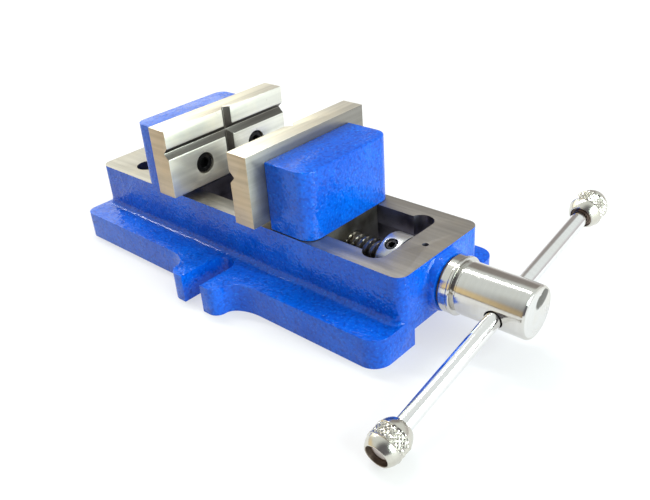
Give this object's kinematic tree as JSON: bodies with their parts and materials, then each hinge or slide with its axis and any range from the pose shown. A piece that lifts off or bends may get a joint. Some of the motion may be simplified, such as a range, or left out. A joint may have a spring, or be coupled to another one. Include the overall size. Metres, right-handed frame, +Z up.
{
  "type": "machine vise",
  "caption": "Low machine vise with a cast slotted base, grooved steel jaw plates, a lead screw and a sliding tommy bar handle.",
  "frame": {"origin": "middle of the base's underside, on the cross tie between the feet", "axes": "+Z up; +Y along the screw, from the handle towards the fixed jaw; X across the jaws"},
  "size_m": [0.169, 0.261, 0.078],
  "materials": {
    "painted_casting": "glossy cobalt blue paint over a rough cast skin; the guideway and top of the base ground bare",
    "ground_steel": "surface-ground steel with fine straight grinding lines",
    "black_oxide_screw": "black oxide socket head screws",
    "nut_iron": "milled grey iron, oiled",
    "washer_steel": "plain turned steel",
    "bush_bronze": "turned bronze, oiled",
    "turned_steel": "bright turned and polished steel; the knobs have a knurled belt",
    "screw_steel": "bright turned head, brownish oiled thread",
    "plated_bar": "bright plated round bar"
  },
  "bodies": {
    "base": {"base_casting": "painted_casting", "fixed_jaw_plate": "ground_steel", "fixed_plate_screw_left": "black_oxide_screw", "fixed_plate_screw_right": "black_oxide_screw", "front_bush": "bush_bronze", "thrust_washer": "turned_steel", "inner_washer": "washer_steel"},
    "jaw": {"moving_jaw": "painted_casting", "moving_jaw_plate": "ground_steel", "moving_plate_screw_left": "black_oxide_screw", "moving_plate_screw_right": "black_oxide_screw", "slide_nut": "nut_iron", "nut_screw_left": "black_oxide_screw", "nut_screw_right": "black_oxide_screw", "nut_lock_washer_left": "washer_steel", "nut_lock_washer_right": "washer_steel"},
    "screw": {"lead_screw": "screw_steel", "thrust_collar": "turned_steel", "collar_set_screw": "black_oxide_screw"},
    "handle": {"tommy_bar": "plated_bar", "bar_knob_left": "turned_steel", "bar_knob_right": "turned_steel"}
  },
  "joints": [
    {"name": "screw_turn", "type": "hinge", "parent": "base", "child": "screw", "pos_m": [0, 0, 0.024], "axis": [0, 1, 0], "range_deg": [-1800, 4032]},
    {"name": "jaw_slide", "type": "slide", "parent": "base", "child": "jaw", "axis": [0, 1, 0], "range_m": [-0.0202, 0.045]},
    {"name": "handle_slide", "type": "slide", "parent": "screw", "child": "handle", "axis": [0.9814, 0, 0.192], "range_m": [-0.052, 0.0628]}
  ],
  "couplings": [
    {"joint": "jaw_slide", "follows": "screw_turn", "m_per_rad": 0.00063662}
  ]
}
